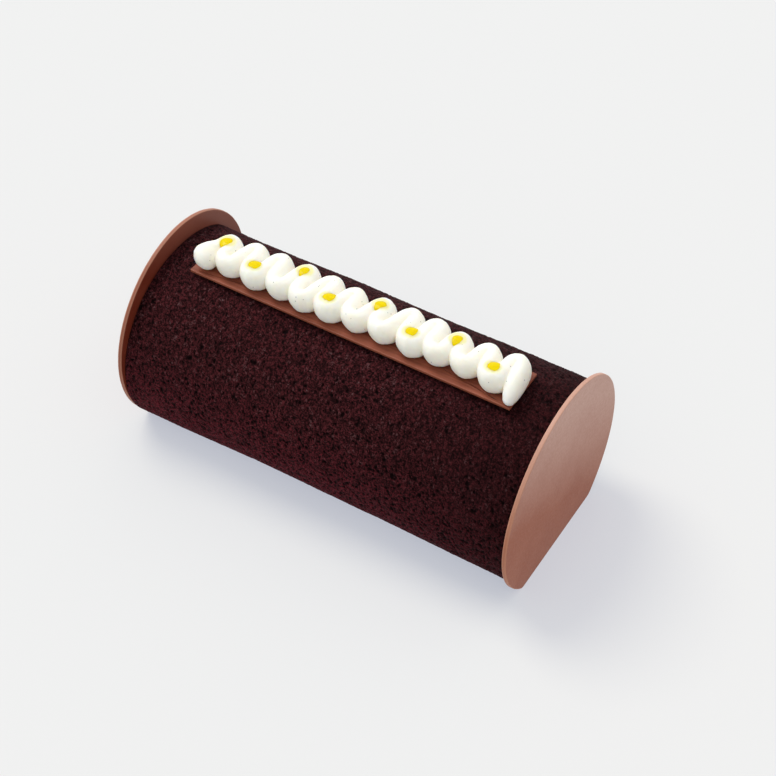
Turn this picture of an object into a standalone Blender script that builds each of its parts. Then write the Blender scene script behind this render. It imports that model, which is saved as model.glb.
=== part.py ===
"""Yule log: a velvety chocolate log between two thin chocolate discs, with a piped strip on top.

Metres, +Z up, floor at z = 0, +X along the log.  The plain log lies on a narrow flat.  A thin
plaque lies on its crown and carries one rope of cream, piped to and fro, with gel dots in it.
"""
import math
import random

import bmesh
import bpy
import numpy as np
from mathutils import Vector

# driving dimensions, metres
LENGTH = 0.1625            # over the outer faces of the two discs
DISC_R = 0.0400            # cut with an 80 mm ring
DISC_T = 0.0016
DISC_CORNER_R = 0.0030     # rounded ends of the flat the disc stands on
DISC_EDGE_R = 0.00035
LEFT_Y, LEFT_Z, LEFT_YAW = 0.0014, 0.0302, math.radians(-0.9)
RIGHT_Y, RIGHT_Z, RIGHT_YAW = -0.0015, 0.0311, math.radians(-0.2)

LOG_Y, LOG_Z = 0.0014, 0.0270
LOG_HALF_W, LOG_HALF_H = 0.03855, 0.03565
LOG_WAIST = 0.032          # the lower front is this much fuller at the ends, as a share of the radius
LOG_BACK_FLAT = 0.040      # the back bulges less, by this share of the radius
LOG_UNEVEN = 0.00020
GAP = 0.0003

BAR_L, BAR_W, BAR_T = 0.1303, 0.0191, 0.0011
BAR_X, BAR_Y, BAR_YAW = -0.00215, 0.00105, math.radians(-0.2)
BAR_EDGE_R = 0.00018

LOOPS = 12
FRONT_PITCH, BACK_PITCH = 0.01070, 0.01060     # from one turn of the rope to the next
FIRST_FRONT_X, FIRST_BACK_X = -0.0541, -0.0582  # centres of the first turns
FRONT_Y, BACK_Y = -0.0014, 0.0036
FRONT_BEND = (0.00305, 0.00305)   # half width and depth of the rope's centre line in a front turn
BACK_BEND = (0.00225, 0.00320)    # the back turns are narrower and more pointed
ROPE_HALF_W, ROPE_HALF_H = 0.00350, 0.00430
TURN_THIN = 0.14           # the rope is this much narrower where it turns
ROPE_LEAN = 0.25           # each pass leans on the one before it: height gained per length across
ROPE_LIFT = 0.00415        # height of the rope's centre line above the plaque
ROPE_STEP = 0.00080
PASS_BLEND = 0.18          # how softly neighbouring passes run together
CREAM_SIDES, CREAM_STATIONS = 26, 150
START_HALF_W = 0.0044
START = ((-0.0633, -0.0037), (-0.0636, -0.0012))
TAIL_TIP = (0.0616, -0.0070)
DOT_HALF, DOT_Z = (0.0032, 0.0028, 0.00115), 0.0074
DOT_LEFT, DOT_OUT = 0.0006, 0.0005   # a dot lies this far towards -X and the closed end of its turn

CROWN_Z = LOG_Z + LOG_HALF_H + LOG_UNEVEN
BAR_TOP = CROWN_Z + GAP + BAR_T
CREAM_Z = BAR_TOP + GAP


def clear_scene():
    """Start from an empty file."""
    for obj in list(bpy.data.objects):
        bpy.data.objects.remove(obj, do_unlink=True)
    for block in (bpy.data.meshes, bpy.data.materials):
        for item in list(block):
            block.remove(item)


def material(name, rgb, roughness, subsurface=0.0):
    mat = bpy.data.materials.new(name)
    mat.use_nodes = True
    bsdf = mat.node_tree.nodes["Principled BSDF"]
    bsdf.inputs["Base Color"].default_value = (*rgb, 1.0)
    bsdf.inputs["Roughness"].default_value = roughness
    bsdf.inputs["Subsurface Weight"].default_value = subsurface
    mat.diffuse_color = (*rgb, 1.0)
    return mat


def add_object(name, verts, faces, mat, smooth_angle=None):
    """A mesh object from vertices and faces, with its normals turned out."""
    mesh = bpy.data.meshes.new(name)
    mesh.from_pydata([tuple(v) for v in verts], [], faces)
    bm = bmesh.new()
    bm.from_mesh(mesh)
    bmesh.ops.recalc_face_normals(bm, faces=bm.faces)
    bm.to_mesh(mesh)
    bm.free()
    mesh.materials.append(mat)
    if smooth_angle is not None:
        mesh.shade_smooth()
        mesh.set_sharp_from_angle(angle=smooth_angle)
    obj = bpy.data.objects.new(name, mesh)
    bpy.context.scene.collection.objects.link(obj)
    return obj


def skin(rings):
    """Faces of a closed body made of equal rings, capped at both ends."""
    n = len(rings[0])
    verts = [v for ring in rings for v in ring]
    faces = []
    for i in range(len(rings) - 1):
        for j in range(n):
            k = (j + 1) % n
            faces.append((i * n + j, i * n + k, (i + 1) * n + k, (i + 1) * n + j))
    last = (len(rings) - 1) * n
    faces.append(tuple(reversed(range(n))))
    faces.append(tuple(last + j for j in range(n)))
    return verts, faces


def make_active(obj):
    bpy.ops.object.select_all(action="DESELECT")
    obj.select_set(True)
    bpy.context.view_layer.objects.active = obj


def apply_all(obj):
    make_active(obj)
    for mod in list(obj.modifiers):
        bpy.ops.object.modifier_apply(modifier=mod.name)


def log_radius(theta, x):
    """Radius of the log at an angle from +Y: an oval, slightly waisted low down at the front."""
    mean = 0.5 * (LOG_HALF_W + LOG_HALF_H)
    oval = 0.5 * (LOG_HALF_W - LOG_HALF_H)
    low = max(0.0, -math.sin(theta)) ** 0.7 * max(0.0, -math.cos(theta)) ** 0.3
    along = 2.0 * x / LENGTH
    swell = 1.0 + LOG_WAIST * low * along * along
    behind = max(0.0, min(1.0, (math.cos(theta) - math.sin(theta) * 0.9) / 0.9))
    swell -= LOG_BACK_FLAT * behind
    bumps = math.sin(3 * theta + 70 * x + 0.6) + math.sin(5 * theta - 95 * x + 2.1)
    return (mean + oval * math.cos(2 * theta)) * swell + LOG_UNEVEN * 0.5 * bumps


def end_plane(side, y):
    """X of the inner face of a disc at a given y."""
    yaw, mid = (LEFT_YAW, LEFT_Y) if side < 0 else (RIGHT_YAW, RIGHT_Y)
    return side * (LENGTH / 2 - DISC_T) + (y - mid) * math.tan(yaw)


def build_log(mat):
    sides, stations = 72, 9
    rings = []
    for i in range(stations):
        t = i / (stations - 1)
        ring = []
        for j in range(sides):
            theta = 2 * math.pi * j / sides
            r = log_radius(theta, (t - 0.5) * LENGTH)
            y = LOG_Y + r * math.cos(theta)
            z = max(0.0, LOG_Z + r * math.sin(theta))
            lo = end_plane(-1, y) + GAP
            hi = end_plane(1, y) - GAP
            ring.append(Vector((lo + (hi - lo) * t, y, z)))
        rings.append(ring)
    return add_object("log_body", *skin(rings), mat, math.radians(35))


def disc_outline(centre_z):
    """A circle cut off flat at the floor, with the two ends of the flat rounded."""
    points = []
    reach = DISC_R - DISC_CORNER_R
    drop = centre_z - DISC_CORNER_R
    corner_y = math.sqrt(reach * reach - drop * drop)
    start = math.atan2(-drop, corner_y)
    arc_steps = 88
    for i in range(arc_steps + 1):
        a = start + (math.pi - 2 * start) * i / arc_steps
        points.append((DISC_R * math.cos(a), centre_z + DISC_R * math.sin(a)))
    for side in (-1, 1):
        a0 = math.pi - start if side < 0 else -math.pi / 2
        a1 = 1.5 * math.pi if side < 0 else start
        for i in range(5):
            if (side < 0 and i == 0) or (side > 0 and i == 4):
                continue
            a = a0 + (a1 - a0) * i / 4
            points.append((side * corner_y + DISC_CORNER_R * math.cos(a),
                           DISC_CORNER_R + DISC_CORNER_R * math.sin(a)))
    return points


def build_disc(name, side, y0, z0, yaw, mat):
    outline = disc_outline(z0)
    outer = side * LENGTH / 2
    inner = outer - side * DISC_T
    rings = []
    for x in (outer, inner):
        rings.append([Vector((x + y * math.tan(yaw), y0 + y, z)) for y, z in outline])
    obj = add_object(name, *skin(rings), mat)
    bevel = obj.modifiers.new("edge", "BEVEL")
    bevel.width = DISC_EDGE_R
    bevel.segments = 2
    bevel.limit_method = "ANGLE"
    bevel.angle_limit = math.radians(60)
    apply_all(obj)
    obj.data.shade_smooth()
    obj.data.set_sharp_from_angle(angle=math.radians(35))
    return obj


def build_bar(mat):
    """The thin plaque that lies along the crown of the log."""
    c, s = math.cos(BAR_YAW), math.sin(BAR_YAW)
    rings = []
    for z in (CROWN_Z + GAP, BAR_TOP):
        ring = []
        for u, v in ((-1, -1), (1, -1), (1, 1), (-1, 1)):
            x, y = u * BAR_L / 2, v * BAR_W / 2
            ring.append(Vector((BAR_X + c * x - s * y, BAR_Y + s * x + c * y, z)))
        rings.append(ring)
    obj = add_object("chocolate_bar", *skin(rings), mat)
    bevel = obj.modifiers.new("edge", "BEVEL")
    bevel.width = BAR_EDGE_R
    bevel.segments = 2
    apply_all(obj)
    obj.data.shade_smooth()
    obj.data.set_sharp_from_angle(angle=math.radians(35))
    return obj


def uneven(seed, count, reach):
    """Small seeded offsets, a different run for each seed."""
    rnd = random.Random(seed)
    return [rnd.uniform(-reach, reach) for _ in range(count)]


def turn_centres():
    """Centres of the turns of the rope in order, back and front by turns, a little uneven."""
    back_x = uneven(56896, LOOPS, 0.0007)
    back_y = uneven(79794, LOOPS, 0.0010)
    front_x = uneven(16370, LOOPS - 1, 0.0006)
    front_y = uneven(52095, LOOPS - 1, 0.0010)
    turns = []
    for n in range(LOOPS):
        turns.append((1, FIRST_BACK_X + n * BACK_PITCH + back_x[n], BACK_Y + back_y[n]))
        if n < LOOPS - 1:
            turns.append((-1, FIRST_FRONT_X + n * FRONT_PITCH + front_x[n], FRONT_Y + front_y[n]))
    return turns


def rope_path():
    """Stations of the rope: x, y, lift, half width, half height, evenly spaced."""
    turns = turn_centres()
    first_x, first_y = turns[0][1] - BACK_BEND[0], turns[0][2]
    raw = [(x, y, 0.0, START_HALF_W, ROPE_HALF_H) for x, y in START]
    for t, w, h in ((0.35, 0.78, 0.90), (0.70, 0.68, 0.86)):
        raw.append((START[1][0] + (first_x - START[1][0]) * t,
                    START[1][1] + (first_y - START[1][1]) * t,
                    ROPE_LIFT * (h - 1.0), START_HALF_W * w, ROPE_HALF_H * h))
    for side, cx, cy in turns:
        wide, deep = BACK_BEND if side > 0 else FRONT_BEND
        for i in range(9):
            a = math.pi * (1 - i / 8)
            raw.append((cx + wide * math.cos(a), cy + side * deep * math.sin(a),
                        0.0, ROPE_HALF_W * (1.0 - TURN_THIN * math.sin(a)), ROPE_HALF_H))
    end_x, end_y = raw[-1][0], raw[-1][1]
    for t, w, h in ((0.22, 1.0, 1.0), (0.45, 1.0, 0.93), (0.68, 0.98, 0.80), (0.86, 0.84, 0.62),
                    (1.0, 0.60, 0.40)):
        raw.append((end_x + (TAIL_TIP[0] - end_x) * t, end_y + (TAIL_TIP[1] - end_y) * t,
                    ROPE_LIFT * (h - 1.0), ROPE_HALF_W * w, ROPE_HALF_H * h))
    return resample(raw, ROPE_STEP)


def resample(raw, step):
    """Evenly spaced stations along a polyline, after rounding its corners."""
    for _ in range(2):
        soft = [raw[0]]
        for a, b, c in zip(raw, raw[1:], raw[2:]):
            soft.append(tuple(0.25 * p + 0.5 * q + 0.25 * r for p, q, r in zip(a, b, c)))
        soft.append(raw[-1])
        raw = soft
    lengths = [0.0]
    for a, b in zip(raw, raw[1:]):
        lengths.append(lengths[-1] + math.hypot(b[0] - a[0], b[1] - a[1]))
    count = max(2, round(lengths[-1] / step))
    out, k = [], 0
    for i in range(count + 1):
        s = lengths[-1] * i / count
        while k < len(raw) - 2 and lengths[k + 1] < s:
            k += 1
        t = (s - lengths[k]) / (lengths[k + 1] - lengths[k])
        out.append(tuple(a + (b - a) * t for a, b in zip(raw[k], raw[k + 1])))
    return out


def stretches():
    """The rope cut into its passes, each an array of stations that shares its ends with the next."""
    path = np.array(rope_path())
    cuts = [0]
    for i in range(1, len(path) - 1):
        before, here, after = path[i - 1][1], path[i][1], path[i + 1][1]
        if (here - before) * (after - here) <= 0 and i - cuts[-1] > 3:
            cuts.append(i)
    cuts.append(len(path) - 1)
    return [path[a:b + 1] for a, b in zip(cuts, cuts[1:])]


def pass_gauge(stations, points):
    """For each point, below 1 inside the oval section of one pass of the rope, above 1 outside."""
    best = np.full(len(points), 1e9)
    for a, b in zip(stations, stations[1:]):
        along = b[:2] - a[:2]
        t = np.clip((points[:, :2] - a[:2]) @ along / (along @ along), 0.0, 1.0)
        at = a + t[:, None] * (b - a)
        side = np.hypot(points[:, 0] - at[:, 0], points[:, 1] - at[:, 1]) / at[:, 3]
        lean = ROPE_LEAN * (points[:, 0] - at[:, 0])
        rise = (points[:, 2] - CREAM_Z - ROPE_LIFT - at[:, 2] + lean) / at[:, 4]
        best = np.minimum(best, np.hypot(side, rise))
    return best


def cream_gauge(passes, points):
    """Below 0 inside the cream: the passes run softly into each other, and the foot is flat."""
    total = np.full(len(points), 1e9)
    for stations in passes:
        reach = stations[:, 3].max() * 2.5
        near = (points[:, 0] > stations[:, 0].min() - reach)
        near &= points[:, 0] < stations[:, 0].max() + reach
        one = np.full(len(points), 1e9)
        one[near] = pass_gauge(stations, points[near])
        mix = np.clip(0.5 + 0.5 * (one - total) / PASS_BLEND, 0.0, 1.0)
        total = one + (total - one) * mix - PASS_BLEND * mix * (1.0 - mix)
    return np.maximum(total - 1.0, (CREAM_Z - points[:, 2]) / ROPE_HALF_H)


def section_middle(passes, x):
    """Centre of the cream's section at x, or None past its ends."""
    ys = np.linspace(-0.014, 0.016, 41)
    zs = CREAM_Z + np.linspace(0.0005, 2 * ROPE_LIFT, 15)
    grid = np.array([(x, y, z) for y in ys for z in zs])
    inside = grid[cream_gauge(passes, grid) < 0]
    return inside.mean(axis=0) if len(inside) > 2 else None


def section_ring(passes, x, sides):
    """Outline of the cream's section at x, found along rays from its middle."""
    middle = section_middle(passes, x)
    turn = 2 * math.pi * (np.arange(sides) + 0.5) / sides
    rays = np.stack([np.zeros(sides), 1.8 * np.cos(turn), np.sin(turn)], axis=1)
    rays /= np.linalg.norm(rays, axis=1)[:, None]
    steps = np.linspace(0.0, 0.016, 33)
    grid = (middle + rays[:, None, :] * steps[None, :, None]).reshape(-1, 3)
    inside = (cream_gauge(passes, grid) < 0).reshape(sides, -1)
    last = np.array([np.flatnonzero(row)[-1] if row.any() else 0 for row in inside])
    low, high = steps[last], steps[np.minimum(last + 1, len(steps) - 1)]
    for _ in range(12):
        half = 0.5 * (low + high)
        within = cream_gauge(passes, middle + rays * half[:, None]) < 0
        low, high = np.where(within, half, low), np.where(within, high, half)
    return middle + rays * low[:, None]


def cream_ends(passes):
    """Lowest and highest x at which the cream has a section."""
    ends = []
    for out, inner in ((-0.080, START[0][0]), (0.080, TAIL_TIP[0])):
        for _ in range(18):
            half = 0.5 * (out + inner)
            if section_middle(passes, half) is None:
                out = half
            else:
                inner = half
        ends.append(inner)
    return ends


def cream_rings(sides, count):
    """Rings of the cream from end to end, closer together where it rounds off at the ends."""
    passes = stretches()
    first, last = cream_ends(passes)
    steps = np.linspace(0.0, 1.0, count)
    edge = np.minimum(steps, 1.0 - steps)
    edge = np.where(edge < 0.04, 0.04 * (edge / 0.04) ** 1.8, edge)
    steps = np.where(steps < 0.5, edge, 1.0 - edge)
    return [section_ring(passes, first + (last - first) * t, sides) for t in steps]


def dot_centres():
    """Every third turn at the back and every third at the front holds a gel dot."""
    turns = turn_centres()
    back = [t for t in turns if t[0] > 0]
    front = [t for t in turns if t[0] < 0]
    spots = [back[n] for n in (0, 3, 6, 9)] + [front[n] for n in (1, 4, 7, 10)]
    return [(x - DOT_LEFT, y + side * DOT_OUT) for side, x, y in spots]


def build_dot(x, y, collection, mat):
    """A flat drop of gel that lies in the hollow of a turn."""
    rings = []
    for t in (-0.95, -0.6, -0.2, 0.25, 0.6, 0.86, 0.97):
        r = math.sqrt(1 - t * t)
        rings.append([Vector((x + DOT_HALF[0] * r * math.cos(a), y + DOT_HALF[1] * r * math.sin(a),
                              CREAM_Z + DOT_Z + DOT_HALF[2] * t))
                      for a in (2 * math.pi * k / 10 for k in range(10))])
    obj = add_object("dot", *skin(rings), mat)
    bpy.context.scene.collection.objects.unlink(obj)
    collection.objects.link(obj)


def build_cream(mat):
    """The rope of cream as one lofted body, joined with its gel dots."""
    group = bpy.data.collections.new("cream_dots")
    bpy.context.scene.collection.children.link(group)
    for x, y in dot_centres():
        build_dot(x, y, group, mat)
    obj = add_object("cream_wave", *skin(cream_rings(CREAM_SIDES, CREAM_STATIONS)), mat)
    union = obj.modifiers.new("join", "BOOLEAN")
    union.operation = "UNION"
    union.operand_type = "COLLECTION"
    union.collection = group
    union.solver = "MANIFOLD"
    apply_all(obj)
    for part in list(group.objects):
        bpy.data.objects.remove(part, do_unlink=True)
    bpy.data.collections.remove(group)
    obj.data.shade_smooth()
    obj.data.set_sharp_from_angle(angle=math.radians(50))
    return obj


def main():
    clear_scene()
    sponge = material("sponge", (0.032, 0.009, 0.010), 0.9)
    disc_choc = material("disc_chocolate", (0.36, 0.20, 0.155), 0.45)
    bar_choc = material("bar_chocolate", (0.33, 0.125, 0.085), 0.4)
    cream = material("cream", (0.88, 0.85, 0.78), 0.45, 0.2)
    build_log(sponge)
    build_disc("disc_left", -1, LEFT_Y, LEFT_Z, LEFT_YAW, disc_choc)
    build_disc("disc_right", 1, RIGHT_Y, RIGHT_Z, RIGHT_YAW, disc_choc)
    build_bar(bar_choc)
    build_cream(cream)


main()
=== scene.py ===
"""Looks of the yule log: crumbly sponge, chocolate discs and plaque, piped cream with gel dots.

Metres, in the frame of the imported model.  Each piece is built round the node it stands for.
"""

import math
import random

import bpy
import numpy as np
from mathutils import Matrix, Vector


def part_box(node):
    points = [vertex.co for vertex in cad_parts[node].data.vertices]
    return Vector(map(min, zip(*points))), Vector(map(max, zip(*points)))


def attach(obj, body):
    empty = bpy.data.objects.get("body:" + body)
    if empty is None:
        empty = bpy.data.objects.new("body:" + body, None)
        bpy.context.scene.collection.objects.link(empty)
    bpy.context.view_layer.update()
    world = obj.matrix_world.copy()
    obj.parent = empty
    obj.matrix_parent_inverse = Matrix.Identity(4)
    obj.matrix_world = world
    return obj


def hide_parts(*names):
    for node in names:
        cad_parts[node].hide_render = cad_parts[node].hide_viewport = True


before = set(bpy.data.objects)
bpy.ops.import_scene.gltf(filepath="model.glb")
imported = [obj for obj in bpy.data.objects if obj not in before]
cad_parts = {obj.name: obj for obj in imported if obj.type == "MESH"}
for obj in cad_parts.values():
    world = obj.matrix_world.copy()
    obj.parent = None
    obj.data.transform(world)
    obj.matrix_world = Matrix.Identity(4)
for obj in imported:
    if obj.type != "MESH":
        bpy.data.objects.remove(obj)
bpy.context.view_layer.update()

# the same driving dimensions as the solids, metres
LENGTH = 0.1625
DISC_R, DISC_T = 0.0400, 0.0016
DISC_CORNER_R, DISC_EDGE_R = 0.0030, 0.00035
LEFT_Y, LEFT_Z, LEFT_YAW = 0.0014, 0.0302, math.radians(-0.9)
RIGHT_Y, RIGHT_Z, RIGHT_YAW = -0.0015, 0.0311, math.radians(-0.2)
LOG_Y, LOG_Z = 0.0014, 0.0270
LOG_HALF_W, LOG_HALF_H = 0.03855, 0.03565
LOG_WAIST, LOG_BACK_FLAT, LOG_UNEVEN = 0.032, 0.040, 0.00020
GAP = 0.0003
BAR_L, BAR_W, BAR_T = 0.1303, 0.0191, 0.0011
BAR_X, BAR_Y, BAR_YAW = -0.00215, 0.00105, math.radians(-0.2)
BAR_EDGE_R = 0.00018
LOOPS = 12
FRONT_PITCH, BACK_PITCH = 0.01070, 0.01060
FIRST_FRONT_X, FIRST_BACK_X = -0.0541, -0.0582
FRONT_Y, BACK_Y = -0.0014, 0.0036
FRONT_BEND = (0.00305, 0.00305)   # half width and depth of the rope's centre line in a front turn
BACK_BEND = (0.00225, 0.00320)    # the back turns are narrower and more pointed
ROPE_HALF_W, ROPE_HALF_H, ROPE_LIFT = 0.00350, 0.00430, 0.00415
ROPE_STEP, PASS_BLEND = 0.00080, 0.18
TURN_THIN = 0.14           # the rope is this much narrower where it turns
ROPE_LEAN = 0.25           # each pass leans on the one before it: height gained per length across
START_HALF_W = 0.0044
START = ((-0.0633, -0.0037), (-0.0636, -0.0012))
TAIL_TIP = (0.0616, -0.0070)
DOT_HALF, DOT_Z = (0.0032, 0.0028, 0.00115), 0.0074
DOT_LEFT, DOT_OUT = 0.0006, 0.0005   # a dot lies this far towards -X and the closed end of its turn
DOT_SWELL = 1.12           # the scene's dots are this much larger, and stand proud of the cream
STAIN_LEFT, STAIN_POWER = 0.0001, 1.8
STAIN_FULL, STAIN_REACH = 0.9, 1.26   # the gel tints the cream this many radii of a dot out
CROWN_Z = LOG_Z + LOG_HALF_H + LOG_UNEVEN
BAR_TOP = CROWN_Z + GAP + BAR_T
CREAM_Z = BAR_TOP + GAP

START_TAPER = ((0.35, 0.78, 0.90), (0.70, 0.68, 0.86))   # share of the way, width, height
TAIL_TAPER = ((0.22, 1.0, 1.0), (0.45, 1.0, 0.93), (0.68, 0.98, 0.80), (0.86, 0.84, 0.62),
              (1.0, 0.60, 0.40))
TURN_STEPS = 8
BACK_UNEVEN, FRONT_UNEVEN = (0.0007, 0.0010), (0.0006, 0.0010)   # along X and along Y

# skin of the log, half of it a grid of points from the crown to the middle of the foot
LOG_ARC, LOG_MEAN_R = 0.0885, 0.0368
LOG_CELL_FRONT, LOG_CELL_BACK = 0.00040, 0.00046
FOOT_ROWS = 8
LOW_SKIN_Z, LOW_SKIN_BAND = 0.050, 0.032   # from this height down it turns smoother, more pitted
LOW_RED_Z, LOW_RED_BAND = 0.046, 0.030     # and below it redder, and lighter with painted bounce light
RIGHT_SHADE_LENGTH = 0.150       # painted shade darkens the log to its right end over this length
PLAIN_RISE = 0.4           # the foot and the ends count as this high on a ridge
END_FADE = 0.0008          # the relief fades out this close to a disc
SHARP_ANGLE = math.radians(80)

# crumb of the sponge: size across, and height or depth, of each unevenness
LATTICE = 509              # the noise repeats after this many of its features
CRUMB_SHIFT = (0.1, 0.3)   # where in the noise the log lies
WARP_SIZE, WARP = 0.0012, 0.00035
LUMP_SIZE, LUMP = 0.00125, 0.00010
FINE_SIZE, FINE = 0.00060, 0.00009
BROAD_SIZE, BROAD = 0.006, 0.00005
CREASE_SIZE, CREASE = 0.00125, 0.00018
WRINKLE_SIZE, WRINKLE = 0.00085, 0.00012
BIG_PIT_SIZE, BIG_PIT = 0.00170, 0.00055
SMALL_PIT_SIZE, SMALL_PIT = 0.00100, 0.00030
PATCH_SIZE = 0.009         # patches of more and of fewer pits
RIDGE_HEIGHT = 0.00022

# chocolate plates
DISC_POINTS, CORNER_STEPS, FOOT_STEPS = 260, 10, 40
BAR_CORNER_R, BAR_SPACING = 0.00025, 0.001
DISC_RAGGED, BAR_RAGGED = 0.00006, 0.00003   # how far the edge is broken back
CHIP_SIZE, NICK_SIZE = 0.0022, 0.0008
FACE_SHARES = (0.02, 0.12, 0.26, 0.40, 0.54, 0.68, 0.80, 0.90, 0.96)   # rings, from the middle
ARRIS_ANGLES = (0, 22, 45, 68, 90)
OUTER_SHARE = 0.25         # the outer face's look reaches this far into the thickness

# surface of the cream
CREAM_RAYS, CREAM_STATIONS = 108, 800
RAY_SPREAD = 1.8           # rays are wider than high, as the section is
RAY_REACH, RAY_MARKS, RAY_HALVINGS = 0.016, 33, 10
END_SHARE, END_POWER = 0.04, 1.8   # rings crowd together in this share of the length at an end
SECTION_Y = (-0.014, 0.016)
CREAM_WOBBLE = 0.00013     # height of the cream's small unevenness
WOBBLE_SIZE, RIPPLE_SIZE = 0.0031, 0.0012
WOBBLE_SHIFT = (0.2, 0.1)
GIRTH_R = 0.006            # turns an angle round the cream into a length
DOT_ROWS, DOT_COLUMNS = 18, 32

# camera, in the frame of the part
VIEW_AZIMUTH, VIEW_ELEVATION = math.radians(31.5371), math.radians(45.8184)
VIEW_DISTANCE = 4.4069 * LENGTH
VIEW_AIM = Vector((-0.0554 * LENGTH, 0.1856 * LENGTH + LOG_Y, 0.0))
SENSOR = 36.0
FOCAL_PX, FRAME_PX = 1871.56, 776
FLOOR_HALF, FLOOR_DROP = 6.0, 0.0002   # the floor lies just under the foot of the log

# light
SUN_COLOUR = (1.0, 0.985, 0.96)
KEY_TOWARDS, KEY_STRENGTH, KEY_SPREAD = (-0.53, 0.125, 0.84), 1.72, 30
FILL_TOWARDS, FILL_STRENGTH, FILL_SPREAD = (0.45, -0.60, 0.66), 0.30, 90
SKY_TOWARDS, SKY_COLOUR = (-0.35, 0.40, 0.85), (0.93, 0.96, 1.0, 1.0)
SKY_RANGE, SKY_STRENGTH = (-0.4, 1.0), (0.34, 0.95)   # strength by how far a ray looks that way


# meshes


def add_mesh(name, verts, faces, material):
    mesh = bpy.data.meshes.new(name)
    mesh.from_pydata([tuple(v) for v in verts], [], faces)
    mesh.validate()
    mesh.materials.append(material)
    mesh.shade_smooth()
    obj = bpy.data.objects.new(name, mesh)
    bpy.context.scene.collection.objects.link(obj)
    return obj


def quad_faces(rows, columns, closed):
    """Quads of a grid of points, row by row, closed round each row or open."""
    faces = []
    span = columns if closed else columns - 1
    for i in range(rows - 1):
        for j in range(span):
            k = (j + 1) % columns
            faces.append((i * columns + j, i * columns + k,
                          (i + 1) * columns + k, (i + 1) * columns + j))
    return faces


def smooth_noise(u, v, size, seed):
    """Noise from -1 to 1 over a plane, with features about size across."""
    grid = np.random.RandomState(seed).uniform(-1.0, 1.0, (LATTICE, LATTICE))
    a, b = u / size, v / size
    i, j = np.floor(a).astype(int), np.floor(b).astype(int)
    fa, fb = a - i, b - j
    fa, fb = fa * fa * (3 - 2 * fa), fb * fb * (3 - 2 * fb)
    i, j = i % LATTICE, j % LATTICE
    i1, j1 = (i + 1) % LATTICE, (j + 1) % LATTICE
    near = grid[j, i] * (1 - fa) + grid[j, i1] * fa
    far = grid[j1, i] * (1 - fa) + grid[j1, i1] * fa
    return near * (1 - fb) + far * fb


def pits(u, v, size, seed, share):
    """Scattered oval pits: 0 outside them, 1 at the middle of one."""
    rnd = np.random.RandomState(seed).rand(LATTICE, LATTICE, 6)
    a, b = u / size, v / size
    i0, j0 = np.floor(a).astype(int), np.floor(b).astype(int)
    depth = np.zeros_like(a)
    for dj in (-1, 0, 1):
        for di in (-1, 0, 1):
            i, j = i0 + di, j0 + dj
            r = rnd[j % LATTICE, i % LATTICE]
            du = a - (i + 0.15 + 0.7 * r[..., 0])
            dv = b - (j + 0.15 + 0.7 * r[..., 1])
            angle = math.pi * r[..., 2]
            c, s = np.cos(angle), np.sin(angle)
            stretch = 1.0 + 0.8 * r[..., 3]
            p, q = (c * du + s * dv) / stretch, (c * dv - s * du)
            radius = 0.20 + 0.26 * r[..., 4] ** 1.5
            here = np.clip(1.25 * (1.0 - np.hypot(p, q) / radius), 0.0, 1.0)
            here = here * here * (3 - 2 * here)
            depth = np.maximum(depth, here * (r[..., 5] < share))
    return depth


# log


def log_radius(theta, x):
    """Radius of the log at an angle from +Y, the same oval as the solid's."""
    mean = 0.5 * (LOG_HALF_W + LOG_HALF_H)
    oval = 0.5 * (LOG_HALF_W - LOG_HALF_H)
    low = np.maximum(0.0, -np.sin(theta)) ** 0.7 * np.maximum(0.0, -np.cos(theta)) ** 0.3
    along = 2.0 * x / LENGTH
    swell = 1.0 + LOG_WAIST * low * along * along
    behind = np.clip((np.cos(theta) - np.sin(theta) * 0.9) / 0.9, 0.0, 1.0)
    swell = swell - LOG_BACK_FLAT * behind
    bumps = np.sin(3 * theta + 70 * x + 0.6) + np.sin(5 * theta - 95 * x + 2.1)
    return (mean + oval * np.cos(2 * theta)) * swell + LOG_UNEVEN * 0.5 * bumps


def end_plane(side, y):
    """X of the inner face of the disc on one side, at a Y."""
    yaw, mid = (LEFT_YAW, LEFT_Y) if side < 0 else (RIGHT_YAW, RIGHT_Y)
    return side * (LENGTH / 2 - DISC_T) + (y - mid) * math.tan(yaw)


def crumb(u, v, low):
    """Relief of the sponge in metres, how deep in a hollow a point is, and how high on a ridge.

    low goes from 0 high on the log to 1 near its foot, where the skin is smoother and more pitted.
    """
    a = u + WARP * smooth_noise(u, v, WARP_SIZE, 11)
    b = v + WARP * smooth_noise(u, v, WARP_SIZE, 12)
    crease = (1.0 - np.abs(smooth_noise(a * 1.25, b * 0.8, CREASE_SIZE, 13))) ** 4
    wrinkle = (1.0 - np.abs(smooth_noise(a, b * 0.85, WRINKLE_SIZE, 19))) ** 4
    lump = smooth_noise(a * 1.2, b * 0.8, LUMP_SIZE, 20)
    fine = smooth_noise(a, b, FINE_SIZE, 14)
    broad = smooth_noise(u, v, BROAD_SIZE, 15)
    share = 0.10 + 0.55 * low + 0.08 * smooth_noise(u, v, PATCH_SIZE, 16)
    big = pits(a, b, BIG_PIT_SIZE, 17, share)
    small = pits(a, b, SMALL_PIT_SIZE, 18, share + 0.12)
    hollow = np.maximum(big, 0.75 * small)
    rough = 1.0 - 0.55 * low
    skin = (LUMP * lump + FINE * fine - CREASE * crease - WRINKLE * wrinkle) * rough
    relief = skin + BROAD * broad - BIG_PIT * big - SMALL_PIT * small
    furrow = (0.35 * crease + 0.50 * wrinkle) * rough
    hollow = np.clip(hollow + furrow * (1.0 - hollow), 0.0, 1.0)
    rise = np.clip(0.5 + skin / RIDGE_HEIGHT, 0.0, 1.0) * (1.0 - hollow)
    return relief, hollow, rise


def float_attribute(obj, name, values):
    attribute = obj.data.attributes.new(name, "FLOAT", "POINT")
    attribute.data.foreach_set("value", np.asarray(values, np.float32).reshape(-1))


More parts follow.
